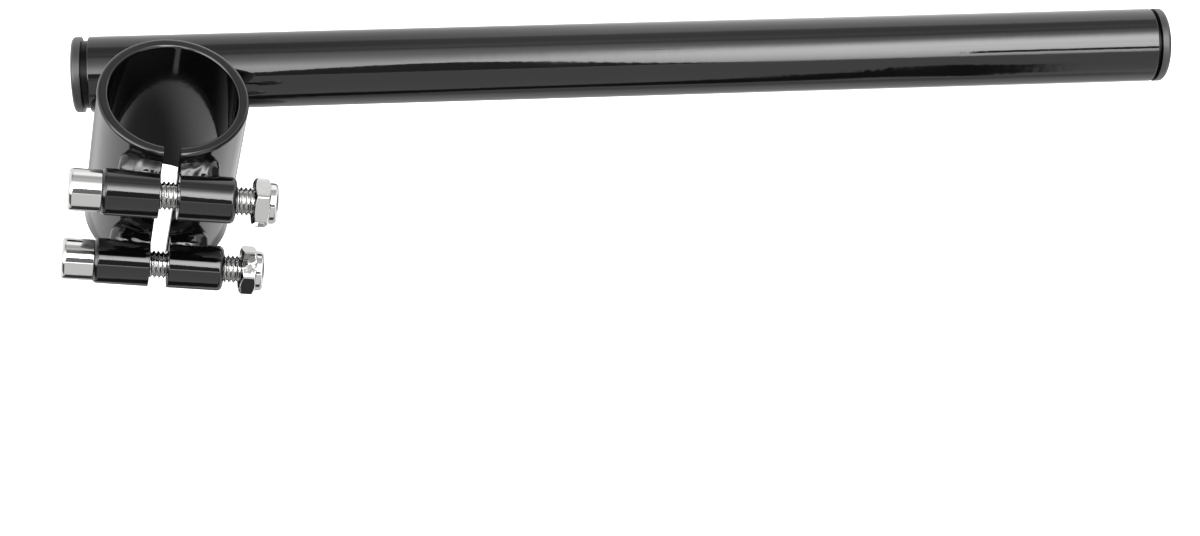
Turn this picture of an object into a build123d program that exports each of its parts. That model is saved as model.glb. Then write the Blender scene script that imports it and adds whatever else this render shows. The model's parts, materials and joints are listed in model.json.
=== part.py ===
"""Clip-on handlebar: a straight tube welded behind a slit fork clamp that two screws close.

The origin is the centre of the clamp's bore. +Z runs along the fork, the bolts run along X with their
heads at -X, the slit faces -Y, and the bar lies behind the clamp at +Y and rises towards +X.
"""
import os
from math import sqrt

from build123d import *

os.makedirs("parts", exist_ok=True)

# Clamp sleeve, in millimetres as everywhere below
fork_diameter = 36.0
sleeve_wall = 3.1
sleeve_length = 54.0
sleeve_edge = 1.0
bore_edge = 0.5
slit_width = 5.2

# Bar, with its reach measured along its axis from the middle of the clamp, and its rise in degrees
bar_diameter = 22.2
bar_wall = 2.2
bar_inner_reach = 22.2
bar_outer_reach = 298.4
bar_rise = 10.0
bar_seat = 0.9
bar_edge = 0.4

# End plugs: a flange, a narrower shoulder that stands on the tube's end, and a finned barrel
plug_flange = 2.8
plug_flange_inset = 0.0
plug_round = 1.1
plug_shoulder_inset = 1.2
inner_plug_shoulder = 1.9
outer_plug_shoulder = 0.95
plug_barrel_length = 12.0
plug_barrel_wall = 1.5
plug_fin_height = 0.7
plug_fin_count = 3
plug_clearance = 0.05

# Bolt bosses, whose axes lie a set distance from the sleeve's ends
boss_diameter = 13.0
boss_length = 15.8
boss_end_distance = 10.8
boss_seat = 0.55
boss_round = 1.4
boss_bolt_clearance = 0.25

# Clamp bolts
bolt_diameter = 7.94
bolt_length = 48.0
bolt_tip = 0.8
head_diameter = 11.8
head_length = 8.7
head_round = 1.0
socket_flats = 6.35
socket_depth = 4.0

# Lock nuts, which stand off the bosses by the length of bare thread
bare_thread = 4.8
nut_flats = 12.7
nut_hex_height = 4.4
nut_height = 6.7
nut_corner = 1.3
collar_diameter = 11.4
collar_wall = 1.1
collar_round = 0.8
insert_height = 2.0
thread_clearance = 0.03
nut_turns = {"upper": -4.0, "lower": 22.0}

# Weld beads, each a row of ridges
boss_weld_radius = 2.9
boss_weld_length = 8.2
boss_weld_ridges = 4
bar_weld_radius = 3.7
bar_weld_length = 14.0
bar_weld_ridges = 5
ridge_depth = 0.4

# Sizes and places that follow from those above
sleeve_radius = fork_diameter / 2 + sleeve_wall
bar_radius = bar_diameter / 2
bar_offset = sleeve_radius + bar_radius - bar_seat
boss_radius = boss_diameter / 2
boss_offset = sleeve_radius + boss_radius - boss_seat
boss_face = slit_width / 2 + boss_length
sides = {"head": -1, "nut": 1}
boss_level = sleeve_length / 2 - boss_end_distance
levels = {"upper": boss_level, "lower": -boss_level}

bar_direction = Vector(1, 0, 0).rotate(Axis.Y, -bar_rise)
bar_up = Vector(0, 0, 1).rotate(Axis.Y, -bar_rise)
bar_plane = Plane(origin=(0, bar_offset, 0), x_dir=(0, 1, 0), z_dir=bar_direction)

finished = {}


# Clamp sleeve: a round tube, slit along its front
with BuildPart() as sleeve_blank:
    with BuildSketch(Plane.XY.offset(-sleeve_length / 2)):
        Circle(sleeve_radius)
    extrude(amount=sleeve_length)

with BuildPart() as clamp_sleeve:
    add(sleeve_blank.part)
    with BuildSketch(Plane.XY.offset(-sleeve_length / 2)):
        Circle(fork_diameter / 2)
    extrude(amount=sleeve_length, mode=Mode.SUBTRACT)
    rims = clamp_sleeve.edges().filter_by(GeomType.CIRCLE)
    fillet(rims.filter_by(lambda rim: rim.radius > sleeve_radius - sleeve_wall / 2), sleeve_edge)
    chamfer(rims.filter_by(lambda rim: rim.radius < sleeve_radius - sleeve_wall / 2), bore_edge)
    with BuildSketch(Plane.XY.offset(-sleeve_length / 2)):
        Rectangle(slit_width, 2 * sleeve_radius, align=(Align.CENTER, Align.MAX))
    extrude(amount=sleeve_length, mode=Mode.SUBTRACT)
finished["clamp_sleeve"] = clamp_sleeve.part


# Handlebar tube: deburred at both ends and coped by the sleeve's outside
with BuildPart() as bar_blank:
    with BuildSketch(bar_plane.offset(-bar_inner_reach)):
        Circle(bar_radius)
    extrude(amount=bar_inner_reach + bar_outer_reach)

with BuildPart() as handlebar_tube:
    add(bar_blank.part)
    with BuildSketch(bar_plane.offset(-bar_inner_reach)):
        Circle(bar_radius - bar_wall)
    extrude(amount=bar_inner_reach + bar_outer_reach, mode=Mode.SUBTRACT)
    chamfer(handlebar_tube.edges().filter_by(GeomType.CIRCLE), bar_edge)
    add(sleeve_blank.part, mode=Mode.SUBTRACT)
finished["handlebar_tube"] = handlebar_tube.part


def make_plug(seat, shoulder):
    """An end plug turned about the bar: seat lies on the tube's end and faces out of the tube."""
    flange_radius = bar_radius - plug_flange_inset
    barrel_radius = bar_radius - bar_wall - plug_clearance - plug_fin_height
    fin_pitch = plug_barrel_length / (plug_fin_count + 1)
    profile = Plane(origin=seat.origin, x_dir=seat.x_dir, z_dir=seat.x_dir.cross(seat.z_dir))
    with BuildPart() as plug:
        with BuildSketch(profile):
            Rectangle(flange_radius, plug_flange + shoulder, align=(Align.MIN, Align.MIN))
            with Locations((flange_radius, 0)):
                Rectangle(plug_shoulder_inset, shoulder, align=(Align.MAX, Align.MIN), mode=Mode.SUBTRACT)
            with Locations((barrel_radius, 0)):
                Rectangle(plug_barrel_wall, plug_barrel_length, align=(Align.MAX, Align.MAX))
            for fin in range(1, plug_fin_count + 1):
                with BuildLine():
                    Polyline(
                        (barrel_radius, -fin * fin_pitch + fin_pitch / 3),
                        (barrel_radius + plug_fin_height, -fin * fin_pitch + fin_pitch / 3),
                        (barrel_radius, -fin * fin_pitch - fin_pitch / 3),
                        close=True,
                    )
                make_face()
        revolve(axis=Axis(seat.origin, seat.z_dir))
        fillet(plug.faces().sort_by(Axis(seat.origin, seat.z_dir))[-1].edges(), plug_round)
    return plug.part


finished["inner_end_plug"] = make_plug(
    Plane(origin=bar_plane.offset(-bar_inner_reach).origin, x_dir=(0, 1, 0), z_dir=-bar_direction),
    inner_plug_shoulder,
)
finished["outer_end_plug"] = make_plug(bar_plane.offset(bar_outer_reach), outer_plug_shoulder)


def boss_plane(side, level):
    """The boss's inner face, flush with the slit, facing away from it."""
    return Plane(origin=(side * slit_width / 2, -boss_offset, level), x_dir=(0, 1, 0), z_dir=(side, 0, 0))


def make_boss_blank(side, level):
    """The boss before it is drilled and rounded, which also trims its weld beads."""
    with BuildPart() as blank:
        with BuildSketch(boss_plane(side, level)):
            Circle(boss_radius)
        extrude(amount=boss_length)
    return blank.part


def make_boss(side, level):
    """A short tube beside the slit, rounded at its outer end and coped where it meets the sleeve."""
    with BuildPart() as boss:
        add(make_boss_blank(side, level))
        fillet(boss.faces().sort_by(Axis.X)[0 if side < 0 else -1].edges(), boss_round)
        with BuildSketch(boss_plane(side, level)):
            Circle(bolt_diameter / 2 + boss_bolt_clearance)
        extrude(amount=boss_length, mode=Mode.SUBTRACT)
        add(sleeve_blank.part, mode=Mode.SUBTRACT)
    return boss.part


def make_bead(start, end, radius, ridges, round_start):
    """A weld bead turned about the line from start to end: arched ridges, and a round far end."""
    seam = end - start
    pitch = seam.length / ridges
    valley = radius - ridge_depth
    side_dir = seam.cross(Vector(0, 1, 0)).normalized()
    tail = (valley / sqrt(2), valley / sqrt(2))
    with BuildPart() as bead:
        with BuildSketch(Plane(origin=start, x_dir=seam.normalized(), z_dir=side_dir)):
            with BuildLine():
                for ridge in range(ridges):
                    ThreePointArc(
                        (ridge * pitch, valley),
                        ((ridge + 0.5) * pitch, radius),
                        ((ridge + 1) * pitch, valley),
                    )
                ThreePointArc(
                    (seam.length, valley),
                    (seam.length + tail[0], tail[1]),
                    (seam.length + valley, 0),
                )
                if round_start:
                    ThreePointArc((0, valley), (-tail[0], tail[1]), (-valley, 0))
                    Line((-valley, 0), (seam.length + valley, 0))
                else:
                    Polyline((0, valley), (0, 0), (seam.length + valley, 0))
            make_face()
        revolve(axis=Axis(start, seam))
    return bead.part


def make_boss_weld(side, level):
    """The beads above and below a boss, lying in the grooves between it and the sleeve."""
    lift = boss_radius * 2 / 3
    boss_back = boss_offset - sqrt(boss_radius**2 - lift**2)
    first, last = slit_width / 2, slit_width / 2 + boss_weld_length
    first_y, last_y = (-(sqrt(sleeve_radius**2 - x**2) + boss_back) / 2 for x in (first, last))
    with BuildPart() as weld:
        for height in (level + lift, level - lift):
            start = Vector(side * first, first_y, height)
            end = Vector(side * last, last_y, height)
            add(make_bead(start, end, boss_weld_radius, boss_weld_ridges, False))
        add(make_boss_blank(side, level), mode=Mode.SUBTRACT)
        add(sleeve_blank.part, mode=Mode.SUBTRACT)
        with BuildSketch(Plane.XY.offset(-sleeve_length / 2)):
            Rectangle(slit_width, 4 * sleeve_radius)
        extrude(amount=sleeve_length, mode=Mode.SUBTRACT)
    return weld.part


def make_bar_weld(above):
    """The bead along the groove between the bar and the back of the sleeve, on one side of the bar."""
    lift = bar_radius * 3 / 4
    half = bar_weld_length / 2
    bar_front = bar_offset - sqrt(bar_radius**2 - lift**2)
    middle = Vector(0, (sqrt(sleeve_radius**2 - half**2) + bar_front) / 2, 0) + bar_up * (lift * above)
    with BuildPart() as weld:
        start = middle - bar_direction * half
        add(make_bead(start, middle + bar_direction * half, bar_weld_radius, bar_weld_ridges, True))
        add(bar_blank.part, mode=Mode.SUBTRACT)
        add(sleeve_blank.part, mode=Mode.SUBTRACT)
    return weld.part


def make_bolt(level):
    """A socket head cap screw that passes through both bosses, with its head on the left one."""
    under_head = Plane(origin=(-boss_face, -boss_offset, level), x_dir=(0, 1, 0), z_dir=(1, 0, 0))
    with BuildPart() as bolt:
        with BuildSketch(under_head):
            Circle(bolt_diameter / 2)
        extrude(amount=bolt_length)
        chamfer(bolt.faces().sort_by(Axis.X)[-1].edges(), bolt_tip)
        with BuildSketch(under_head):
            Circle(head_diameter / 2)
        extrude(amount=-head_length)
        fillet(bolt.faces().sort_by(Axis.X)[0].edges(), head_round)
        with BuildSketch(under_head.offset(-head_length)):
            RegularPolygon(socket_flats / 2, 6, major_radius=False)
        extrude(amount=socket_depth, mode=Mode.SUBTRACT)
    return bolt.part


def nut_plane(level):
    """The nut's bearing face, which looks back at the right boss."""
    return Plane(origin=(boss_face + bare_thread, -boss_offset, level), x_dir=(0, 1, 0), z_dir=(1, 0, 0))


def make_nut(level, turn):
    """A hexagon with turned corners and a round collar that holds the insert."""
    face = nut_plane(level)
    corner_radius = nut_flats / sqrt(3)
    turned = Plane(origin=face.origin, x_dir=face.x_dir, z_dir=face.x_dir.cross(face.z_dir))
    slope = nut_corner / sqrt(3)
    with BuildPart() as nut:
        with BuildSketch(face):
            RegularPolygon(nut_flats / 2, 6, major_radius=False, rotation=turn)
        extrude(amount=nut_hex_height)
        with BuildSketch(turned):
            with BuildLine():
                Polyline(
                    (0, 0),
                    (corner_radius - nut_corner, 0),
                    (corner_radius, slope),
                    (corner_radius, nut_hex_height - slope),
                    (corner_radius - nut_corner, nut_hex_height),
                    (0, nut_hex_height),
                    close=True,
                )
            make_face()
        revolve(axis=Axis(face.origin, face.z_dir), mode=Mode.INTERSECT)
        with BuildSketch(face.offset(nut_hex_height)):
            Circle(collar_diameter / 2)
        extrude(amount=nut_height - nut_hex_height)
        fillet(nut.faces().sort_by(Axis.X)[-1].edges(), collar_round)
        with BuildSketch(face):
            Circle(bolt_diameter / 2 + thread_clearance)
        extrude(amount=nut_height, mode=Mode.SUBTRACT)
        with BuildSketch(face.offset(nut_height)):
            Circle(collar_diameter / 2 - collar_wall)
        extrude(amount=-insert_height, mode=Mode.SUBTRACT)
    return nut.part


def make_insert(level):
    """The nylon ring in the nut's collar, flush with its end."""
    with BuildPart() as ring:
        with BuildSketch(nut_plane(level).offset(nut_height)):
            Circle(collar_diameter / 2 - collar_wall)
            Circle(bolt_diameter / 2 + thread_clearance, mode=Mode.SUBTRACT)
        extrude(amount=-insert_height)
    return ring.part


for level_name, level in levels.items():
    for side_name, side in sides.items():
        finished[f"{level_name}_{side_name}_boss"] = make_boss(side, level)
        finished[f"{level_name}_{side_name}_boss_weld"] = make_boss_weld(side, level)
    finished[f"{level_name}_clamp_bolt"] = make_bolt(level)
    finished[f"{level_name}_lock_nut"] = make_nut(level, nut_turns[level_name])
    finished[f"{level_name}_nut_insert"] = make_insert(level)
finished["bar_weld_above"] = make_bar_weld(1)
finished["bar_weld_below"] = make_bar_weld(-1)

for name, piece in finished.items():
    piece.label = name
    export_step(piece, f"parts/{name}.step")
    print(name, len(piece.solids()), round(piece.volume, 1))
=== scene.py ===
# %% [markdown]
# # A clip-on handlebar
# A black steel bar welded to a slit clamp, closed by two chromed screws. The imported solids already
# have the right sizes, but gloss paint and chrome show every facet, so each piece is worked out again
# here as a fine surface and takes the place of its solid.

# %% Load the frame
import json
from math import cos, pi, radians, sin

import bmesh
import bpy
import numpy as np
from mathutils import Matrix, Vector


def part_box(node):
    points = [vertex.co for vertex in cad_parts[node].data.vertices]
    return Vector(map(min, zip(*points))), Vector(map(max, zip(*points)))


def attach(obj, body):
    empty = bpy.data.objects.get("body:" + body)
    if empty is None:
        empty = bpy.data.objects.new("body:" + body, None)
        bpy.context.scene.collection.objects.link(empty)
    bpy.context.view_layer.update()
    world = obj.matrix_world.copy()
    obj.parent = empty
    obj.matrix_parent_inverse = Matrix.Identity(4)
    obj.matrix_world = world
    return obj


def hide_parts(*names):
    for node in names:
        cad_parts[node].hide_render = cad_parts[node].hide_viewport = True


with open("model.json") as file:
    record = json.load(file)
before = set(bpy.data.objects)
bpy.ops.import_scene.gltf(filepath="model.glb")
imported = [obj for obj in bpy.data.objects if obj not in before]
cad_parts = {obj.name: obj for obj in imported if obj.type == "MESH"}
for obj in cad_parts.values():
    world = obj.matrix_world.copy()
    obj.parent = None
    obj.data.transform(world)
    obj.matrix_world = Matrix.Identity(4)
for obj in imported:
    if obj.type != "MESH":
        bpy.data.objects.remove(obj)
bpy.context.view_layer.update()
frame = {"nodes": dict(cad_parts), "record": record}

MM = 0.001
scene = bpy.context.scene
print("solids in the frame:", len(frame["nodes"]))

# %% [markdown]
# ## Reading sizes from the frame
# Every piece here is round about some axis. The corner points of a solid, measured along and away
# from that axis, give its ends and radii, so no size has to be typed a second time.


# %% Measuring helpers
def node_points(name):
    """All corner points of a solid, one row each, in metres."""
    mesh = frame["nodes"][name].data
    flat = np.empty(len(mesh.vertices) * 3, dtype=np.float32)
    mesh.vertices.foreach_get("co", flat)
    return flat.reshape(-1, 3).astype(float)


def along(name, origin, axis):
    """Lowest and highest distance of a solid's points along an axis: (p - origin) . axis."""
    distance = (node_points(name) - origin) @ axis
    return distance.min(), distance.max()


def away(name, origin, axis):
    """Smallest and largest distance of a solid's points from an axis."""
    offset = node_points(name) - origin
    radial = offset - np.outer(offset @ axis, axis)
    distance = np.linalg.norm(radial, axis=1)
    return distance.min(), distance.max()


# %% Measured sizes
mounts = {mount["name"]: mount for mount in frame["record"]["mounts"]}
X, Y, Z = np.eye(3)
CENTRE = np.zeros(3)
bore_radius = mounts["fork_clamp"]["dims"]["r_mm"] * MM
sleeve_radius = away("clamp_sleeve", CENTRE, Z)[1]
sleeve_half = along("clamp_sleeve", CENTRE, Z)[1]
slit_half, boss_face = along("upper_nut_boss", CENTRE, X)

bar_axis = np.array(mounts["control_bar"]["axis"], dtype=float)
bar_point = np.array(mounts["control_bar"]["pos_m"], dtype=float)
bar_origin = bar_point - bar_axis * bar_point[0] / bar_axis[0]
bar_radius = mounts["control_bar"]["dims"]["r_mm"] * MM
bar_inner, bar_outer = along("handlebar_tube", bar_origin, bar_axis)
bolt_points = {}
for level in ("upper", "lower"):
    low, high = (np.array(corner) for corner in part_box(f"{level}_nut_boss"))
    bolt_points[level] = np.array([0, low[1] + (high[2] - low[2]) / 2, (low[2] + high[2]) / 2])
boss_hole, boss_radius = away("upper_nut_boss", bolt_points["upper"], X)
print(f"bar {bar_outer - bar_inner:.4f} m long, clamp bore {2 * bore_radius:.4f} m")

# %% [markdown]
# ## From a profile to a surface
# A turned piece is a closed outline of radius and height, carried round an axis. Blender's Screw
# modifier could do it, but arrays of points also let the radius change round a ring, which threads
# and hexagons need. Corners get true arcs first, because a crisp highlight on a rounded edge is what
# tells the eye that it is metal.


# %% Outline helper
def rounded(corners, radii, steps=6, support=0.12):
    """A closed outline with each corner replaced by an arc that is tangent to both of its sides.

    A point just outside each end of the arc keeps the smoothing off the straight stretches.
    """
    corners = np.array(corners, dtype=float)
    outline = []
    for i, (corner, radius) in enumerate(zip(corners, radii)):
        if radius == 0:
            outline.append(corner[None])
            continue
        back = corners[i - 1] - corner
        ahead = corners[(i + 1) % len(corners)] - corner
        back, ahead = back / np.linalg.norm(back), ahead / np.linalg.norm(ahead)
        half = np.arccos(np.clip(back @ ahead, -1, 1)) / 2
        middle = corner + (back + ahead) / np.linalg.norm(back + ahead) * radius / sin(half)
        start = corner + back * radius / np.tan(half) - middle
        end = corner + ahead * radius / np.tan(half) - middle
        share = np.linspace(0, 1, steps + 1)[:, None]
        angle = pi - 2 * half
        arc = (np.sin((1 - share) * angle) * start + np.sin(share * angle) * end) / sin(angle)
        outline.append((middle + start + back * radius * support)[None])
        outline.append(middle + arc)
        outline.append((middle + end + ahead * radius * support)[None])
    return np.concatenate(outline)


# %% Surface helpers
same_place, no_length, on_axis = 1e-7, 1e-8, 1e-9


def side_axes(axis):
    """Two unit vectors square to an axis and to each other."""
    first = np.cross(axis, Y if abs(axis[1]) < 0.9 else X)
    first = first / np.linalg.norm(first)
    return first, np.cross(axis, first)


def even(radii, count):
    """One row for each ring, with the same radius at every place round it."""
    return np.repeat(np.asarray(radii, dtype=float)[:, None], count, axis=1)


def turned(radius, height, origin, axis, count):
    """Rings about an axis: origin + height * axis + radius * (cos, sin). Radius may vary round a ring."""
    first, second = side_axes(axis)
    turn = np.linspace(0, 2 * pi, count, endpoint=False)
    spoke = np.cos(turn)[:, None] * first + np.sin(turn)[:, None] * second
    radius = np.asarray(radius, dtype=float)
    if radius.ndim == 1:
        radius = even(radius, count)
    return origin + np.asarray(height)[:, None, None] * axis + radius[..., None] * spoke


def ring_faces(rings, count, loop):
    """Quads between each ring and the next, and from the last back to the first where it is a loop."""
    i = np.arange(rings if loop else rings - 1)[:, None]
    j = np.arange(count)[None]
    i_next, j_next = (i + 1) % rings, (j + 1) % count
    quads = np.stack([i * count + j, i * count + j_next, i_next * count + j_next, i_next * count + j], -1)
    return quads.reshape(-1, 4)


def pushed_out(points, origin, axis, radius):
    """Points inside a cylinder move straight out to its wall, and the rest stay."""
    offset = points - origin
    height = offset @ axis
    radial = offset - height[..., None] * axis
    distance = np.linalg.norm(radial, axis=-1)[..., None]
    wall = origin + height[..., None] * axis + radial * radius / np.maximum(distance, on_axis)
    return np.where(distance < radius, wall, points)


# %% Piece helpers
def make_piece(name, points, faces, material, sharp=40, caps=()):
    """A mesh object from arrays: doubles merged, faces outwards, smooth but for edges past an angle."""
    mesh = bpy.data.meshes.new(name)
    mesh.from_pydata(points.reshape(-1, 3).tolist(), [], faces.tolist() + list(caps))
    work = bmesh.new()
    work.from_mesh(mesh)
    bmesh.ops.remove_doubles(work, verts=work.verts, dist=same_place)
    bmesh.ops.dissolve_degenerate(work, edges=work.edges, dist=no_length)
    bmesh.ops.recalc_face_normals(work, faces=work.faces)
    work.to_mesh(mesh)
    work.free()
    mesh.shade_smooth()
    mesh.set_sharp_from_angle(angle=radians(sharp))
    mesh.materials.append(material)
    piece = bpy.data.objects.new(name, mesh)
    scene.collection.objects.link(piece)
    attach(piece, "root")
    print(f"{name}: {len(mesh.polygons)} faces")
    return piece


def lathe(name, outline, origin, axis, material, count=128):
    """A closed outline of (radius, height) carried once round an axis."""
    rings = turned(outline[:, 0], outline[:, 1], origin, axis, count)
    return make_piece(name, rings, ring_faces(len(outline), count, True), material)


# %% [markdown]
# ## Finishes
# The weldment is gloss black paint over steel. A sprayed coat is never a perfect mirror: it has a
# faint orange peel, and it is a little rougher in some places than in others. An image could carry
# both, but noise on Object coordinates has no seams and no edge. One node group makes it, and paint,
# plating and plastic take it with their own values.

# %% Surface unevenness, shared by every finish
peel_detail, patch_scale, patch_low, patch_high = 1.5, 60.0, 0.3, 0.7


def make_uneven_group():
    """Noise at one scale: a roughness that wanders between two values, and a bumped normal."""
    group = bpy.data.node_groups.new("uneven_surface", "ShaderNodeTree")
    sockets = group.interface
    for label in ("Scale", "Smoothest", "Roughest", "Bump", "Depth"):
        sockets.new_socket(label, in_out="INPUT", socket_type="NodeSocketFloat")
    sockets.new_socket("Roughness", in_out="OUTPUT", socket_type="NodeSocketFloat")
    sockets.new_socket("Normal", in_out="OUTPUT", socket_type="NodeSocketVector")
    nodes, links = group.nodes, group.links
    given, result = nodes.new("NodeGroupInput"), nodes.new("NodeGroupOutput")
    place = nodes.new("ShaderNodeTexCoord")
    peel, patches = nodes.new("ShaderNodeTexNoise"), nodes.new("ShaderNodeTexNoise")
    peel.inputs["Detail"].default_value = peel_detail
    patches.inputs["Scale"].default_value = patch_scale
    for noise in (peel, patches):
        links.new(place.outputs["Object"], noise.inputs["Vector"])
    links.new(given.outputs["Scale"], peel.inputs["Scale"])
    spread = nodes.new("ShaderNodeMapRange")
    spread.inputs["From Min"].default_value = patch_low
    spread.inputs["From Max"].default_value = patch_high
    links.new(patches.outputs["Fac"], spread.inputs["Value"])
    links.new(given.outputs["Smoothest"], spread.inputs["To Min"])
    links.new(given.outputs["Roughest"], spread.inputs["To Max"])
    links.new(spread.outputs["Result"], result.inputs["Roughness"])
    bump = nodes.new("ShaderNodeBump")
    links.new(given.outputs["Bump"], bump.inputs["Strength"])
    links.new(given.outputs["Depth"], bump.inputs["Distance"])
    links.new(peel.outputs["Fac"], bump.inputs["Height"])
    links.new(bump.outputs["Normal"], result.inputs["Normal"])
    return group


uneven_surface = make_uneven_group()

# %% [markdown]
# The screws are bright chrome. The nuts have a thinner plating over rougher steel, so their bump is
# stronger. The plugs are satin plastic where they show. Below the flange they take a darker, duller
# finish: painted shade, for the shade that the flange casts there. The inserts are undyed nylon.


# %% Finishes
def make_finish(name, colour, uneven, metallic=0.0, specular=0.5):
    """A Principled finish with plain colour, metal and specular values, and the shared unevenness."""
    material = bpy.data.materials.new(name)
    material.use_nodes = True
    nodes, links = material.node_tree.nodes, material.node_tree.links
    shader = nodes["Principled BSDF"]
    shader.inputs["Base Color"].default_value = (*colour, 1)
    shader.inputs["Metallic"].default_value = metallic
    shader.inputs["Specular IOR Level"].default_value = specular
    surface = nodes.new("ShaderNodeGroup")
    surface.node_tree = uneven_surface
    for label, value in uneven.items():
        surface.inputs[label].default_value = value
    links.new(surface.outputs["Roughness"], shader.inputs["Roughness"])
    links.new(surface.outputs["Normal"], shader.inputs["Normal"])
    print("finish:", name)
    return material


plate_colour = (0.45, 0.45, 0.445)
black_paint = make_finish(
    "gloss_black_paint",
    (0.003, 0.003, 0.003),
    {"Scale": 260.0, "Smoothest": 0.04, "Roughest": 0.09, "Bump": 0.10, "Depth": 0.0002},
)
chrome = make_finish(
    "bright_chrome",
    plate_colour,
    {"Scale": 500.0, "Smoothest": 0.03, "Roughest": 0.07, "Bump": 0.03, "Depth": 0.0001},
    metallic=1.0,
)
nut_plate = make_finish(
    "plated_nut",
    plate_colour,
    {"Scale": 330.0, "Smoothest": 0.02, "Roughest": 0.06, "Bump": 0.06, "Depth": 0.0003},
    metallic=1.0,
)
plug_plastic = make_finish(
    "satin_black_plastic",
    (0.045, 0.045, 0.045),
    {"Scale": 1800.0, "Smoothest": 0.32, "Roughest": 0.45, "Bump": 0.15, "Depth": 0.00005},
)
# Painted shade: the plug's faces below the flange are darker and duller than its plastic, for the shade in
# the groove.
plug_painted_shade = make_finish(
    "painted_shade_plastic",
    (0.002, 0.002, 0.002),
    {"Scale": 900.0, "Smoothest": 0.2, "Roughest": 0.3, "Bump": 0.05, "Depth": 0.00005},
    specular=0.12,
)
nylon = make_finish(
    "natural_nylon",
    (0.80, 0.80, 0.75),
    {"Scale": 900.0, "Smoothest": 0.4, "Roughest": 0.55, "Bump": 0.05, "Depth": 0.00005},
)

# %% [markdown]
# ## The bar
# One straight steel tube. Its side is coped to sit against the clamp. A Boolean could cut that seat,
# but it leaves long thin faces, so here the points of the turned surface that would lie inside the
# clamp are pushed out to the clamp's wall. The rings lie close together there and far apart elsewhere.

# %% Handlebar tube
bar_wall = bar_radius - away("handlebar_tube", bar_origin, bar_axis)[0]
bar_edge, bar_count = 0.4 * MM, 192
cope_reach, cope_step = 16 * MM, 0.8 * MM
bar_ends = rounded(
    [
        (bar_radius - bar_wall, bar_outer),
        (bar_radius - bar_wall, bar_inner),
        (bar_radius, bar_inner),
        (bar_radius, bar_outer),
    ],
    [bar_edge] * 4,
)
outer_wall = len(bar_ends) * 3 // 4
cope_heights = np.arange(-cope_reach, cope_reach, cope_step)
cope_rings = np.stack([np.full_like(cope_heights, bar_radius), cope_heights], -1)
bar_outline = np.concatenate([bar_ends[:outer_wall], cope_rings, bar_ends[outer_wall:]])
bar_rings = turned(bar_outline[:, 0], bar_outline[:, 1], bar_origin, bar_axis, bar_count)
bar_rings = pushed_out(bar_rings, CENTRE, Z, sleeve_radius)
bar_faces = ring_faces(len(bar_outline), bar_count, True)
bar = make_piece("bar", bar_rings, bar_faces, black_paint)
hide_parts("handlebar_tube")

# %% [markdown]
# ## End plugs
# Moulded plastic, pushed into the tube: a rounded flange, a narrower shoulder that stands on the end
# of the tube, and a hollow barrel with fins that grip inside. One outline holds all of it, so the plug
# is turned in one go. Faces below the flange get a darker, duller plastic: painted shade in the groove.

# %% Plugs
flange_thickness, flange_round, flange_back_round = 2.8 * MM, 1.1 * MM, 0.3 * MM
shoulder_inset, barrel_wall, shade_margin = 1.2 * MM, 1.5 * MM, 0.1 * MM
fin_height, fin_count, fin_reach = 0.7 * MM, 3, 0.9


def make_plug(name, node, seat, direction):
    """The plug's outline, with heights measured out of the tube from its end."""
    axis = bar_axis * direction
    origin = bar_origin + bar_axis * seat
    bottom, top = along(node, origin, axis)
    flange = away(node, origin, axis)[1]
    shoulder = top - flange_thickness
    barrel = bar_radius - bar_wall - fin_height
    fin_pitch = -bottom / (fin_count + 1)
    corners = [(0, top), (flange, top), (flange, shoulder), (flange - shoulder_inset, shoulder)]
    corners += [(flange - shoulder_inset, 0), (barrel, 0)]
    for fin in range(1, fin_count + 1):
        corners.append((barrel, -fin * fin_pitch + fin_pitch / 3))
        corners.append((barrel + fin_height * fin_reach, -fin * fin_pitch + fin_pitch / 3))
        corners.append((barrel, -fin * fin_pitch - fin_pitch / 3))
    corners += [(barrel, bottom), (barrel - barrel_wall, bottom), (barrel - barrel_wall, 0), (0, 0)]
    radii = [0, flange_round, flange_back_round] + [0] * (len(corners) - 3)
    plug = lathe(name, rounded(corners, radii), origin, axis, plug_plastic)
    # Faces below the flange take the painted shade finish. The margin sets where it starts.
    plug.data.materials.append(plug_painted_shade)
    middles = np.empty(len(plug.data.polygons) * 3, dtype=np.float32)
    plug.data.polygons.foreach_get("center", middles)
    heights = (middles.reshape(-1, 3) - origin) @ axis
    plug.data.polygons.foreach_set("material_index", (heights < shoulder + shade_margin).astype(np.int32))
    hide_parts(node)


make_plug("inner_plug", "inner_end_plug", bar_inner, -1)
make_plug("outer_plug", "outer_end_plug", bar_outer, 1)

# %% [markdown]
# ## The clamp sleeve
# A tube with one slit. It could be turned and then cut, but a cut leaves sharp edges that shine as
# one hard line. So the outline of the wall is carried from one side of the slit round to the other.
# The slit's faces are flat and parallel, so each radius starts at its own angle, asin(w / r), and the
# first and last rings shrink along an arc to round the edges of those faces.

# %% Sleeve
sleeve_edge, foot_edge, bore_edge = 1.0 * MM, 0.4 * MM, 0.9 * MM
slit_lip, slit_round, slit_steps, sleeve_count = 0.3 * MM, 0.12 * MM, 4, 240
wall_outline = rounded(
    [
        (bore_radius, -sleeve_half),
        (sleeve_radius, -sleeve_half),
        (sleeve_radius, sleeve_half),
        (bore_radius, sleeve_half),
    ],
    [foot_edge, foot_edge, sleeve_edge, bore_edge],
)
wall_middle = np.array([(bore_radius + sleeve_radius) / 2, 0])


def sleeve_ring(share, inset, gap):
    """The wall's outline at a share of the way round, shrunk by inset, with the slit's half width gap."""
    outline = wall_outline - np.sign(wall_outline - wall_middle) * inset
    start = np.arcsin(gap / outline[:, 0])
    turn = -pi / 2 + start + share * (2 * pi - 2 * start)
    return np.stack([outline[:, 0] * np.cos(turn), outline[:, 0] * np.sin(turn), outline[:, 1]], -1)


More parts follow.
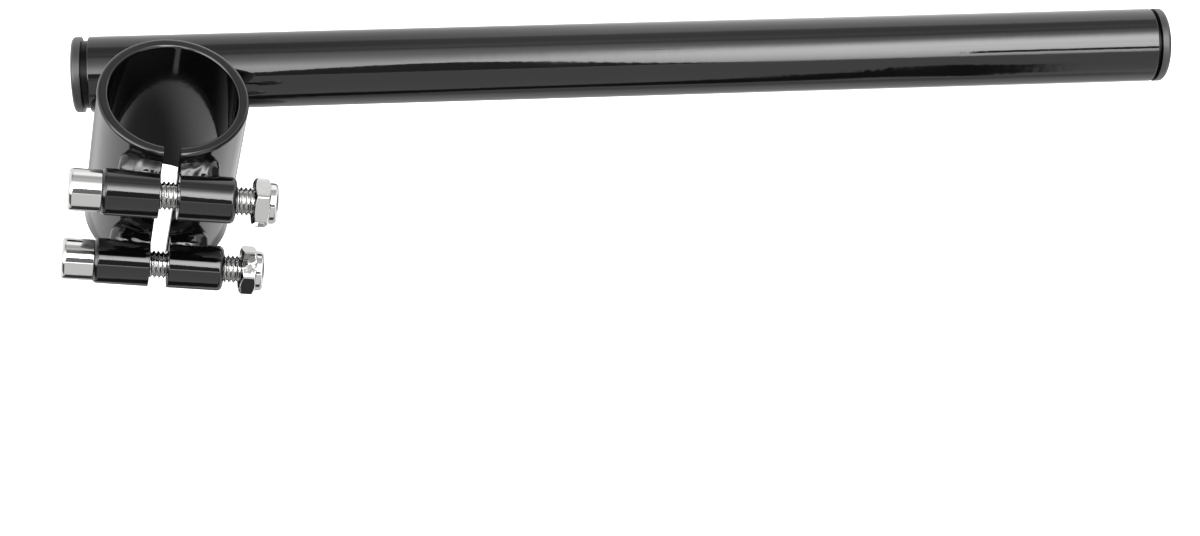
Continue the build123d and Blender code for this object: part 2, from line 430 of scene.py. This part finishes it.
tuck = np.linspace(0, pi / 2, slit_steps + 1)[:-1]
sleeve_gap = slit_half - slit_lip
tucks = list(zip(slit_round * (1 - np.sin(tuck)), sleeve_gap + slit_round * (1 - np.cos(tuck))))
open_gap = sleeve_gap + slit_round
sleeve_rings = [sleeve_ring(0, inset, gap) for inset, gap in tucks]
sleeve_rings += [sleeve_ring(share, 0, open_gap) for share in np.linspace(0, 1, sleeve_count)]
sleeve_rings += [sleeve_ring(1, inset, gap) for inset, gap in reversed(tucks)]
sleeve_rings = np.array(sleeve_rings)
wall_count = len(wall_outline)
sleeve_faces = ring_faces(len(sleeve_rings), wall_count, False)
last = (len(sleeve_rings) - 1) * wall_count
slit_faces = [list(range(wall_count)), list(range(last, last + wall_count))]
sleeve = make_piece("sleeve", sleeve_rings, sleeve_faces, black_paint, caps=slit_faces)
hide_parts("clamp_sleeve")

# %% [markdown]
# ## Bosses
# Four short tubes carry the screws. The outer end is rounded, the inner end is flush with the slit,
# and the side is coped where it touches the sleeve, in the same way as the bar. All four share one
# outline, with extra rings along the wall so that the cope has points to move.

# %% Bosses
boss_round, boss_small, boss_arc, boss_steps, boss_count = 1.4 * MM, 0.25 * MM, 8, 24, 128
boss_outline = rounded(
    [(boss_hole, boss_face), (boss_hole, slit_half), (boss_radius, slit_half), (boss_radius, boss_face)],
    [boss_small, boss_small, boss_small, boss_round],
    steps=boss_arc,
)
outer_wall = len(boss_outline) * 3 // 4
boss_heights = np.linspace(boss_outline[outer_wall - 1, 1], boss_outline[outer_wall, 1], boss_steps + 2)[1:-1]
boss_wall = np.stack([np.full_like(boss_heights, boss_radius), boss_heights], -1)
boss_outline = np.concatenate([boss_outline[:outer_wall], boss_wall, boss_outline[outer_wall:]])
boss_faces = ring_faces(len(boss_outline), boss_count, True)
for level, point in bolt_points.items():
    for side, axis in (("head", -X), ("nut", X)):
        rings = turned(boss_outline[:, 0], boss_outline[:, 1], point, axis, boss_count)
        rings = pushed_out(rings, CENTRE, Z, sleeve_radius)
        name = f"{level}_{side}"
        boss = make_piece(f"{name}_boss_tube", rings, boss_faces, black_paint)
        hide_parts(f"{name}_boss")

# %% [markdown]
# ## Weld beads
# A fillet weld fills the corner between two walls with a face that is nearly flat, a little lumpy,
# and dips to the walls at its end. It could be sculpted, but it has to follow both walls. So it is a
# thick bar about a line behind the seam: only the part that faces outwards shows, and that part gets
# most of the points. Every point that would lie inside a tube is moved out to just under the tube's
# wall, so the bead's toes follow both surfaces. The lumps are waves that run over the face in random
# directions, each as high as it is long, so that the sum has no repeat and no ridge.

# %% Weld bead helpers
bead_curve, bead_sunk, bead_rows, bead_count = 5.5 * MM, 0.1 * MM, 120, 64
bead_taper, bead_dip, seat_rounds, bead_sharp = 1.9, 1.4, 3, 70
lump_waves, lump_lengths, lump_stretch = 14, (1.8 * MM, 5.0 * MM), 1.4


def bead_rings(start, end, facing, face, slope, ends, seed):
    """Points start + s * axis - (curve - face) * facing + radius * (cos t * facing + sin t * side).

    The angle t is pi * w * |w|, which crowds the points round the open side. The radius is the curve
    plus the lumps, less a drop of 1 - sqrt(1 - x * x) near each end that is rounded. Each lump is
    wave * sin(2 pi * run / wave + phase), and slope is how steep their sum is on average.
    """
    length = np.linalg.norm(end - start)
    axis = (end - start) / length
    facing = facing - (facing @ axis) * axis
    facing = facing / np.linalg.norm(facing)
    side = np.cross(axis, facing)
    taper = bead_taper * face
    s = np.linspace(-taper if ends == 2 else 0, length + taper, bead_rows)[:, None]
    w = np.linspace(-1, 1, bead_count, endpoint=False)[None]
    t = pi * w * np.abs(w)
    random = np.random.default_rng(seed)
    heading, phase = random.uniform(0, 2 * pi, (2, lump_waves))
    wave = random.uniform(*lump_lengths, lump_waves)
    run = s[..., None] * np.cos(heading) / lump_stretch + bead_curve * t[..., None] * np.sin(heading)
    lumps = (wave * np.sin(2 * pi * run / wave + phase)).sum(-1) / (2 * pi) * np.sqrt(2 / lump_waves)
    past = np.clip(s - length, 0, taper) + np.clip(-s, 0, taper)
    drop = face * (1 - np.sqrt(1 - (past / taper) ** 2))
    radius = bead_curve + slope * lumps - bead_dip * drop
    spoke = np.cos(t)[..., None] * facing + np.sin(t)[..., None] * side
    middle = start - (bead_curve - face) * facing + s[..., None] * axis
    rings = middle + radius[..., None] * spoke
    first, last = (np.broadcast_to(ring, (1, bead_count, 3)) for ring in (middle[0], middle[-1]))
    return np.concatenate([first, rings, last])


def seated(rings, tube_point, tube_axis, tube_radius):
    """The bead's points moved out of the tube and of the sleeve, in turn, to just under their walls."""
    for _ in range(seat_rounds):
        rings = pushed_out(rings, tube_point, tube_axis, tube_radius - bead_sunk)
        rings = pushed_out(rings, CENTRE, Z, sleeve_radius - bead_sunk)
    return rings


# %% [markdown]
# Each boss has a bead above and a bead below, from the slit to a rounded end. The seam lies between
# the boss and the sleeve, so the line of the bead is half way between their two walls.

# %% Boss beads
boss_bead_face, boss_bead_length = 2.5 * MM, 6.7 * MM
boss_bead_slope = {"upper": 0.11, "lower": 0.09}
boss_bead_lean = {"upper": 0.4, "lower": 0.1}
bead_lift = boss_radius * 2 / 3
boss_back = -bolt_points["upper"][1] - np.sqrt(boss_radius**2 - bead_lift**2)
bead_x = np.array([slit_half, slit_half + boss_bead_length])
bead_y = -(np.sqrt(sleeve_radius**2 - bead_x**2) + boss_back) / 2
seed = 0
for level, point in bolt_points.items():
    for side, sign in (("head", -1), ("nut", 1)):
        beads, faces, used = [], [], 0
        for up in (1, -1):
            seed += 1
            line = np.stack([sign * bead_x, bead_y, np.full(2, point[2] + up * bead_lift)], -1)
            facing = np.array([0, -boss_bead_lean[level], up])
            rings = bead_rings(line[0], line[1], facing, boss_bead_face, boss_bead_slope[level], 1, seed)
            rings = seated(rings, point, X, boss_radius)
            rings[..., 0] = sign * np.maximum(sign * rings[..., 0], slit_half)
            beads.append(rings.reshape(-1, 3))
            faces.append(ring_faces(len(rings), bead_count, False) + used)
            used += len(rings) * bead_count
        name = f"{level}_{side}_boss"
        beads, faces = np.concatenate(beads), np.concatenate(faces)
        bead = make_piece(f"{name}_beads", beads, faces, black_paint, bead_sharp)
        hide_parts(f"{name}_weld")

# %% [markdown]
# The bar is held by one bead above it and one below, along the line where it meets the sleeve. Both
# ends of these beads are rounded.

# %% Bar beads
bar_bead_face, bar_bead_length, bar_bead_slope = 3.3 * MM, 11 * MM, 0.12
bar_lift = bar_radius * 3 / 4
bar_front = bar_origin[1] - np.sqrt(bar_radius**2 - bar_lift**2)
bar_bead_y = (np.sqrt(sleeve_radius**2 - (bar_bead_length / 2) ** 2) + bar_front) / 2
bar_up = np.cross(bar_axis, Y)
for name, up in (("above", 1), ("below", -1)):
    seed += 1
    middle = bar_bead_y * Y + up * bar_lift * bar_up
    half = bar_axis * bar_bead_length / 2
    rings = bead_rings(middle - half, middle + half, up * bar_up, bar_bead_face, bar_bead_slope, 2, seed)
    rings = seated(rings, bar_origin, bar_axis, bar_radius)
    faces = ring_faces(len(rings), bead_count, False)
    bead = make_piece(f"bar_bead_{name}", rings, faces, black_paint, bead_sharp)
    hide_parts(f"bar_weld_{name}")

# %% [markdown]
# ## Clamp screws
# Socket head screws, threaded along their whole shank. A thread could be a swept groove, but here it
# is one height field: the radius at a place depends on the height along the screw less the turn round
# it, so the crests climb as a helix. The socket is a ring whose radius follows a hexagon, a / cos of
# the angle to the nearest flat.

# %% Thread and hexagon
thread_pitch, thread_depth, groove_steep, crest_flat = 1.25 * MM, 0.72 * MM, 1.25, 0.15
screw_count, rings_per_pitch = 72, 14
turn = np.linspace(0, 2 * pi, screw_count, endpoint=False)


def hexagon(flats, turn, soft=None):
    """Radius of a hexagon with a distance across flats, at each angle, corners softened by a power."""
    facing = np.cos(turn[..., None] - np.arange(6) * pi / 3)
    if soft is None:
        return flats / 2 / facing.max(-1)
    return flats / 2 / (np.clip(facing, 0, None) ** soft).sum(-1) ** (1 / soft)


def thread_radius(height, crest):
    """Crest radius less the depth of a 60 degree groove with flat crests, at height less turn."""
    phase = (height[:, None] / thread_pitch - turn[None] / (2 * pi)) % 1
    groove = np.clip(groove_steep * (1 - np.abs(2 * phase - 1)) - crest_flat, 0, 1)
    return crest - thread_depth * groove


# %% Screws
screw_play, head_round, head_back_round, tip_chamfer = 0.25 * MM, 1.0 * MM, 0.15 * MM, 0.8 * MM
socket_flats, socket_depth, socket_chamfer, socket_point = 6.35 * MM, 4.0 * MM, 0.4 * MM, 1.2 * MM
crest = boss_hole - screw_play
mouth = socket_flats / np.sqrt(3) + socket_chamfer
socket = even([0, 0], screw_count) + hexagon(socket_flats, turn)
for level, point in bolt_points.items():
    node = f"{level}_clamp_bolt"
    head_end, tip_end = along(node, point, X)
    head_radius = away(node, point, X)[1]
    heights = np.arange(-boss_face, tip_end, thread_pitch / rings_per_pitch)
    shank = thread_radius(heights, crest)
    shank = np.minimum(shank, crest - tip_chamfer + (tip_end - heights)[:, None])
    head_line = rounded(
        [(0, 0), (head_radius, -boss_face), (head_radius, head_end), (0, head_end)],
        [0, head_back_round, head_round, 0],
    )[1:-1]
    socket_floor = head_end + socket_depth
    tip, head = even([0], screw_count), even([*head_line[:, 0], mouth], screw_count)
    radius = np.concatenate([tip, shank[::-1], head, socket, tip])
    socket_heights = [head_end, head_end + socket_chamfer, socket_floor, socket_floor + socket_point]
    height = np.concatenate([[tip_end], heights[::-1], head_line[:, 1], socket_heights])
    rings = turned(radius, height, point, X, screw_count)
    faces = ring_faces(len(rings), screw_count, False)
    screw = make_piece(f"{level}_screw", rings, faces, chrome)
    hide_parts(node)

# %% [markdown]
# ## Lock nuts
# A hexagon whose corners are turned off at 30 degrees: at each place the radius is the smaller of the
# hexagon and a cone, which draws the curved edges by itself, where a Boolean would leave slivers. A
# round collar follows, which holds a nylon ring. How far each nut is turned is read from its solid.

# %% Nuts and their inserts
nut_flats, nut_hex, nut_corner, nut_play = 12.7 * MM, 4.4 * MM, 1.3 * MM, 0.22 * MM
nut_soft, nut_count, nut_sharp, cone_rings, flat_rings = 38, 360, 25, 12, 4
collar_radius, collar_wall, collar_round, collar_lip = 5.7 * MM, 1.1 * MM, 1.0 * MM, 0.15 * MM
insert_height, insert_round, insert_count, bore_round = 2.0 * MM, 0.2 * MM, 96, 0.3 * MM
nut_turn = np.linspace(0, 2 * pi, nut_count, endpoint=False)
nut_bore, recess = boss_hole - nut_play, collar_radius - collar_wall
cone_depth = np.linspace(0, nut_corner, cone_rings)
depth = np.concatenate([cone_depth, np.linspace(nut_corner, nut_hex / 2, flat_rings)[1:]])
depth = np.concatenate([depth, nut_hex - depth[::-1][1:]])
cone = nut_flats / np.sqrt(3) - nut_corner + np.minimum(depth, nut_hex - depth) * np.sqrt(3)
first, second = side_axes(X)
for level, point in bolt_points.items():
    node = f"{level}_lock_nut"
    start, end = along(node, point, X)
    offset = node_points(node) - point
    corner = offset[np.argmax(np.hypot(offset @ first, offset @ second))]
    corner_turn = np.arctan2(corner @ second, corner @ first)
    hexes = hexagon(nut_flats, nut_turn - corner_turn + pi / 6, nut_soft)
    ledge = end - insert_height
    collar = rounded(
        [
            (collar_radius, start + nut_hex),
            (collar_radius, end),
            (recess, end),
            (recess, ledge),
            (nut_bore, ledge),
            (nut_bore, start),
        ],
        [0, collar_round, collar_lip, 0, 0, bore_round],
    )
    radius = np.concatenate([np.minimum(hexes[None], cone[:, None]), even(collar[:, 0], nut_count)])
    height = np.concatenate([start + depth, collar[:, 1]])
    rings = turned(radius, height, point, X, nut_count)
    faces = ring_faces(len(rings), nut_count, True)
    nut = make_piece(f"{level}_nut", rings, faces, nut_plate, nut_sharp)
    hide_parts(node)
    ring_line = rounded(
        [(nut_bore, ledge), (recess, ledge), (recess, end), (nut_bore, end)],
        [0, 0, insert_round, insert_round],
    )
    ring = lathe(f"{level}_insert", ring_line, point, X, nylon, count=insert_count)
    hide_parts(f"{level}_nut_insert")

# %% [markdown]
# ## Camera
# The camera stands where the photograph's perspective puts it, given by its place, the way it looks
# and its up direction. The lens is for a 36 mm wide sensor.

# %% Camera
camera_place = np.array([-0.04165, -0.43848, 0.55175])
look = np.array([0.23797, 0.57817, -0.78044])
camera_up = np.array([-0.06563, 0.81126, 0.58099])
camera_right = np.cross(look, camera_up)
towards = -look
camera_data = bpy.data.cameras.new("camera")
camera_data.lens = 72.32
camera_data.sensor_width = 36.0
camera_data.clip_start = 0.01
camera = bpy.data.objects.new("camera", camera_data)
pose = np.eye(4)
pose[:3, 0], pose[:3, 1], pose[:3, 2], pose[:3, 3] = camera_right, camera_up, towards, camera_place
camera.matrix_world = Matrix(pose.tolist())
scene.collection.objects.link(camera)
scene.camera = camera
print(f"camera {np.linalg.norm(camera_place):.3f} m from the clamp")

# %% [markdown]
# ## Studio
# Gloss black shows only what surrounds it, so the room is painted on the world, where a few Math nodes
# are easier to shape than a set of lamps. Only reflections see the room. All other light is a plain
# even level, at which a colour renders about as it is written, and the camera sees white.

# %% World helpers
world = bpy.data.worlds.new("studio")
scene.world = world
world.use_nodes = True
nodes, links = world.node_tree.nodes, world.node_tree.links
background = nodes["Background"]
direction = nodes.new("ShaderNodeTexCoord")


def feed(socket, value):
    """Sets a socket to a number, or links another socket to it."""
    if isinstance(value, (int, float)):
        socket.default_value = value
    else:
        links.new(value, socket)


def dot_with(vector):
    """The part of the ray's direction that lies along a fixed vector."""
    node = nodes.new("ShaderNodeVectorMath")
    node.operation = "DOT_PRODUCT"
    node.inputs[1].default_value = vector
    links.new(direction.outputs["Generated"], node.inputs[0])
    return node.outputs["Value"]


def math_node(operation, *values):
    """One Math node whose inputs are numbers or sockets."""
    node = nodes.new("ShaderNodeMath")
    node.operation = operation
    for socket, value in zip(node.inputs, values):
        feed(socket, value)
    return node.outputs[0]


def product(first, *others):
    """All the given sockets multiplied."""
    for other in others:
        first = math_node("MULTIPLY", first, other)
    return first


def step_up(value, low, high):
    """0 at low and 1 at high, with a smooth rise between. Low may be the larger. All may be sockets."""
    node = nodes.new("ShaderNodeMapRange")
    node.interpolation_type = "SMOOTHSTEP"
    for label, given in (("Value", value), ("From Min", low), ("From Max", high)):
        feed(node.inputs[label], given)
    return node.outputs["Result"]


def mixed(start, end, share):
    """start * (1 - share) + end * share."""
    node = nodes.new("ShaderNodeMix")
    for label, given in (("Factor", share), ("A", start), ("B", end)):
        feed(next(s for s in node.inputs if s.name == label and s.type == "VALUE"), given)
    return next(s for s in node.outputs if s.type == "VALUE")


def ramp(value, points):
    """A curve of straight pieces through (place, level) points, from the first place to the last."""
    low, high = points[0][0], points[-1][0]
    top = max(level for place, level in points)
    bottom = min(0, min(level for place, level in points))
    share = math_node("MULTIPLY_ADD", value, 1 / (high - low), -low / (high - low))
    node = nodes.new("ShaderNodeValToRGB")
    links.new(share, node.inputs["Fac"])
    stops = node.color_ramp.elements
    while len(stops) < len(points):
        stops.new(0.5)
    for stop, (place, level) in zip(stops, points):
        stop.position = (place - low) / (high - low)
        stop.color = ((level - bottom) / (top - bottom),) * 3 + (1,)
    return math_node("MULTIPLY_ADD", node.outputs["Color"], top - bottom, bottom)


# %% [markdown]
# The room as the paint sees it, from below over the front to the back: a white table, a large soft
# light above the camera, a dimmer ceiling and a pale backdrop. Angles are in degrees about the
# picture's width, with 0 towards the camera and 90 straight up in the picture. Sideways runs from -1
# on the left to 1 on the right. The light is brighter on the right, and its top rises there.

# %% Table, light, ceiling and backdrop
angle = math_node("MULTIPLY", math_node("ARCTAN2", dot_with(camera_up), dot_with(towards)), 180 / pi)
sideways = dot_with(camera_right)
table = [(-180, 0.5), (-160, 0.7), (-145, 0.9), (-120, 1.1), (-108, 0.7), (-103, 0.7)]
table += [(-98, 1.12), (-27, 1.14)]
left_light = [(-24, 1.3), (-22, 6.0), (0, 7.5), (5, 7.3), (12, 5.7), (20, 4.0), (28, 2.9)]
left_light += [(37, 2.3), (43, 1.8)]
left_ceiling = [(48, 0.9), (55, 1.2), (63, 0.85), (71, 0.8), (80, 0.9)]
left_backdrop = [(87, 1.9), (110, 2.05), (150, 1.6), (180, 0.8)]
right_light = [(-25, 1.4), (-22, 6.0), (-14, 8.5), (0, 11.0), (10, 12.0), (18, 10.4), (25, 6.4), (31, 3.4)]
right_light += [(36, 2.1), (43, 1.5)]
right_ceiling = [(49, 0.75), (57, 1.0), (68, 0.7), (80, 0.75)]
right_backdrop = [(87, 1.9), (110, 1.9), (150, 1.2), (180, 0.6)]
rise_from, rise_rate, rise_above = 0.26, 70.0, 5.0
left_dim, left_glow = 0.72, 1.6

risen = math_node("MAXIMUM", math_node("SUBTRACT", sideways, rise_from), 0.0)
risen_angle = math_node("SUBTRACT", angle, math_node("MULTIPLY", risen, rise_rate))
light_angle = mixed(angle, risen_angle, math_node("GREATER_THAN", angle, rise_above))
left_room = ramp(angle, table + left_light + left_ceiling + left_backdrop)
right_room = ramp(light_angle, table + right_light + right_ceiling + right_backdrop)
room = mixed(left_room, right_room, step_up(sideways, 0.09, 0.29))
dimmer = mixed(left_dim, 1.0, step_up(sideways, -0.05, 0.08))
room = mixed(room, math_node("MULTIPLY", room, dimmer), step_up(angle, -30, -20))
off_light = math_node("MAXIMUM", step_up(angle, -14, -30), step_up(angle, 34, 50))
glow = mixed(1.0, left_glow, step_up(sideways, -0.12, -0.25))
room = mixed(math_node("MULTIPLY", room, glow), room, off_light)

# %% [markdown]
# A dark line lies across the table, which the paint draws along the whole bar as one black streak that
# widens and stops short of the outer end. Its middle and its half width are curves over sideways.

# %% Dark line on the table
line_places = [(-1, -140), (-0.2, -128), (-0.12, -115), (-0.05, -104), (0, -96), (0.04, -94.5), (0.11, -91)]
line_places += [(0.18, -90), (0.23, -85.5), (0.25, -80.5), (0.272, -83), (0.286, -80), (0.306, -72)]
line_places += [(0.33, -72), (0.35, -78), (1, -78)]
line_halves = [(-1, 8), (-0.12, 9), (-0.05, 8), (0, 6), (0.03, 6.5), (0.07, 5), (0.14, 6), (0.23, 9)]
line_halves += [(0.25, 10), (0.272, 14), (0.286, 17), (0.306, 16.5), (0.33, 21), (0.35, 19), (1, 19)]
line_soft, line_lean = 2.0, -0.00137
line_off = math_node("ABSOLUTE", math_node("SUBTRACT", angle, ramp(sideways, line_places)))
line_half = ramp(sideways, line_halves)
line_share = step_up(
    line_off, math_node("ADD", line_half, line_soft), math_node("ADD", line_half, -line_soft)
)
line_stop = step_up(math_node("MULTIPLY_ADD", angle, line_lean, sideways), 0.4435, 0.4375)

# %% [markdown]
# The sides of the room are patches laid over it one after another: each has a level, and the places
# where it counts. Dark ones give the rounded edges the thin black outline that makes them look crisp.

# %% Patches and light
left_of_light = math_node("MAXIMUM", off_light, step_up(sideways, -0.9, -0.96))
left_low = math_node("MULTIPLY", step_up(angle, -26, -34), step_up(angle, -100, -92))
patches = {
    "dark line": (0.06, line_share, line_stop),
    "low backdrop": (1.25, step_up(sideways, 0, 0.12), step_up(angle, -148, -164)),
    "left wall": (1.7, step_up(sideways, -0.4, -0.7), left_of_light),
    "dark foot of the left wall": (0.15, step_up(sideways, -0.16, -0.28), left_low),
    "foot of the right wall": (1.6, step_up(sideways, 0.3, 0.4), step_up(angle, -85, -100)),
    "right wall": (1.8, step_up(sideways, 0.46, 0.58)),
    "dark end on the right": (0.3, step_up(sideways, 0.8, 0.9)),
}
for level, *shares in patches.values():
    room = mixed(room, level, product(*shares))
plain_light, white = 1.0, 1.0
seen = nodes.new("ShaderNodeLightPath")
light = mixed(plain_light, room, seen.outputs["Is Glossy Ray"])
links.new(mixed(light, white, seen.outputs["Is Camera Ray"]), background.inputs["Strength"])
background.inputs["Color"].default_value = (1, 1, 1, 1)
print("room patches:", ", ".join(patches))

# %% [markdown]
# ## Things close to the object
# What stands near the bar shifts along it in the reflection, so it can't be part of the far room. The
# camera and the stands beside it are dark, and the paint shows them as a dark band under the soft
# light. Cards in the plane of the camera stand for them, and one for a piece of the table. Only
# reflections see the cards.


# %% Card helpers
def make_glow(name, level):
    """A paint that only gives off an even light of the given level."""
    paint = bpy.data.materials.new(name)
    paint.use_nodes = True
    shader = paint.node_tree.nodes["Principled BSDF"]
    shader.inputs["Base Color"].default_value = (0, 0, 0, 1)
    shader.inputs["Specular IOR Level"].default_value = 0.0
    shader.inputs["Emission Color"].default_value = (1, 1, 1, 1)
    shader.inputs["Emission Strength"].default_value = level
    return paint


def make_stage(name, points, faces, paint):
    """A piece of the studio that only reflections see."""
    mesh = bpy.data.meshes.new(name)
    mesh.from_pydata(points.reshape(-1, 3).tolist(), [], faces)
    mesh.materials.append(paint)
    thing = bpy.data.objects.new(name, mesh)
    scene.collection.objects.link(thing)
    thing.visible_camera = thing.visible_shadow = False
    thing.visible_diffuse = thing.visible_transmission = False
    print("stage:", name)


def make_card(name, across, above, paint):
    """A flat face in the camera's plane, from distances to the right of the camera and above it."""
    corners = camera_place + np.outer(across, camera_right) + np.outer(above, camera_up)
    make_stage(name, corners, [list(range(len(corners)))], paint)


def make_upright_card(name, left, right, low, high, paint):
    """A card with four square corners."""
    make_card(name, [left, right, right, left], [low, low, high, high], paint)


# %% Cards
dark_card, table_card = make_glow("dark_card", 0.3), make_glow("table_card", 0.95)
stand_middle, stand_width, stand_base, stand_height = 55 * MM, 125 * MM, -262 * MM, 340 * MM
stand_reach, stand_steps = 1.8, 33
across = stand_middle + stand_width * np.linspace(-stand_reach, stand_reach, stand_steps)
mound = stand_base + stand_height * np.exp(-(((across - stand_middle) / stand_width) ** 2))
across, mound = np.append(across, across[[-1, 0]]), np.append(mound, [stand_base, stand_base])
make_card("camera_and_stand", across, mound, dark_card)
make_upright_card("side_stand", 390 * MM, 560 * MM, -140 * MM, -45 * MM, dark_card)
make_upright_card("left_stand", -240 * MM, -115 * MM, -165 * MM, 5 * MM, dark_card)
make_upright_card("left_table", -240 * MM, -115 * MM, -270 * MM, -165 * MM, table_card)

# %% [markdown]
# The upper flat of the lower nut is turned straight at the light. A small grey card keeps it from
# going white, as a photographer's flag does. Its place is where the flat looks: the ray from the
# camera, mirrored in the flat and followed back to the camera's plane.

# %% Flag for the lower nut
flag_turn, flag_level = radians(112), 0.55
flag_half_width, flag_half_height = 7.5 * MM, 13 * MM
flat_normal = cos(flag_turn) * Y + sin(flag_turn) * Z
flat_middle = bolt_points["lower"] + (along("lower_lock_nut", CENTRE, X)[0] + nut_hex / 2) * X
flat_middle = flat_middle + nut_flats / 2 * flat_normal
to_flat = (flat_middle - camera_place) / np.linalg.norm(flat_middle - camera_place)
mirrored = to_flat - 2 * (to_flat @ flat_normal) * flat_normal
reach = ((camera_place - flat_middle) @ towards) / (mirrored @ towards)
flag_place = flat_middle + reach * mirrored - camera_place
flag_across, flag_above = flag_place @ camera_right, flag_place @ camera_up
make_upright_card(
    "nut_flag",
    flag_across - flag_half_width,
    flag_across + flag_half_width,
    flag_above - flag_half_height,
    flag_above + flag_half_height,
    make_glow("flag_grey", flag_level),
)

# %% [markdown]
# The clamp stands over its own soft shadow on the table, and the wall of the bore shows it. A disc
# just below the clamp carries that shadow, dark at a point and brighter with the distance from it. A
# dark skirt round the foot of the bore is the narrow gap under the clamp, where no light comes in.

# %% Shadow under the bore
disc_radius, disc_height, disc_count = 44 * MM, -60 * MM, 64
shadow_middle = (15 * MM, -10 * MM, disc_height)
shadow_range = {"From Min": 15 * MM, "From Max": 50 * MM, "To Min": 0.2, "To Max": 1.15}
shadow_paint = make_glow("soft_shadow", 0.0)
shadow_nodes, shadow_links = shadow_paint.node_tree.nodes, shadow_paint.node_tree.links
shadow_place = shadow_nodes.new("ShaderNodeTexCoord")
shadow_distance = shadow_nodes.new("ShaderNodeVectorMath")
shadow_distance.operation = "DISTANCE"
shadow_distance.inputs[1].default_value = shadow_middle
shadow_level = shadow_nodes.new("ShaderNodeMapRange")
shadow_level.interpolation_type = "SMOOTHSTEP"
for label, value in shadow_range.items():
    shadow_level.inputs[label].default_value = value
shadow_strength = shadow_nodes["Principled BSDF"].inputs["Emission Strength"]
shadow_links.new(shadow_place.outputs["Object"], shadow_distance.inputs[0])
shadow_links.new(shadow_distance.outputs["Value"], shadow_level.inputs["Value"])
shadow_links.new(shadow_level.outputs["Result"], shadow_strength)
disc_turn = np.linspace(0, 2 * pi, disc_count, endpoint=False)
disc = np.stack([np.cos(disc_turn), np.sin(disc_turn), np.zeros(disc_count)], -1) * disc_radius
make_stage("bore_shadow", disc + disc_height * Z, [list(range(disc_count))], shadow_paint)

# %% Skirt round the foot of the bore
skirt_height, skirt_gap, skirt_level, skirt_count = 3.2 * MM, 0.02 * MM, 0.06, 96
skirt_ends = [-sleeve_half - skirt_height, -sleeve_half + 2 * foot_edge]
skirt_rings = turned([bore_radius - skirt_gap] * 2, skirt_ends, CENTRE, Z, skirt_count)
skirt_faces = ring_faces(2, skirt_count, False).tolist()
make_stage("bore_skirt", skirt_rings, skirt_faces, make_glow("skirt_shade", skirt_level))

# %% [markdown]
# ## Floor
# A plain pale floor, well below the object. It is white to the camera, through Light Path, because a
# floor that was lit to white would throw more light on the object. Reflections see the painted room in
# its place.

# %% Floor
floor_height, floor_size, floor_grey, floor_rough = -0.36, 2.4, 0.85, 0.9
corners = np.array([(-1, -1, 0), (1, -1, 0), (1, 1, 0), (-1, 1, 0)]) * floor_size / 2 + (0, 0, floor_height)
floor_mesh = bpy.data.meshes.new("floor")
floor_mesh.from_pydata(corners.tolist(), [], [(0, 1, 2, 3)])
floor = bpy.data.objects.new("floor", floor_mesh)
floor_paint = bpy.data.materials.new("pale_floor")
floor_paint.use_nodes = True
floor_nodes, floor_links = floor_paint.node_tree.nodes, floor_paint.node_tree.links
floor_shader = floor_nodes["Principled BSDF"]
floor_shader.inputs["Base Color"].default_value = (floor_grey, floor_grey, floor_grey, 1)
floor_shader.inputs["Roughness"].default_value = floor_rough
floor_shader.inputs["Emission Color"].default_value = (1, 1, 1, 1)
floor_seen = floor_nodes.new("ShaderNodeLightPath")
floor_links.new(floor_seen.outputs["Is Camera Ray"], floor_shader.inputs["Emission Strength"])
floor_mesh.materials.append(floor_paint)
scene.collection.objects.link(floor)
floor.visible_glossy = False
print(f"floor {floor_size} m wide at {floor_height} m")

# %% [markdown]
# ## Finish
# The Standard view shows colours as they are written.

# %% Finish
scene.view_settings.view_transform = "Standard"
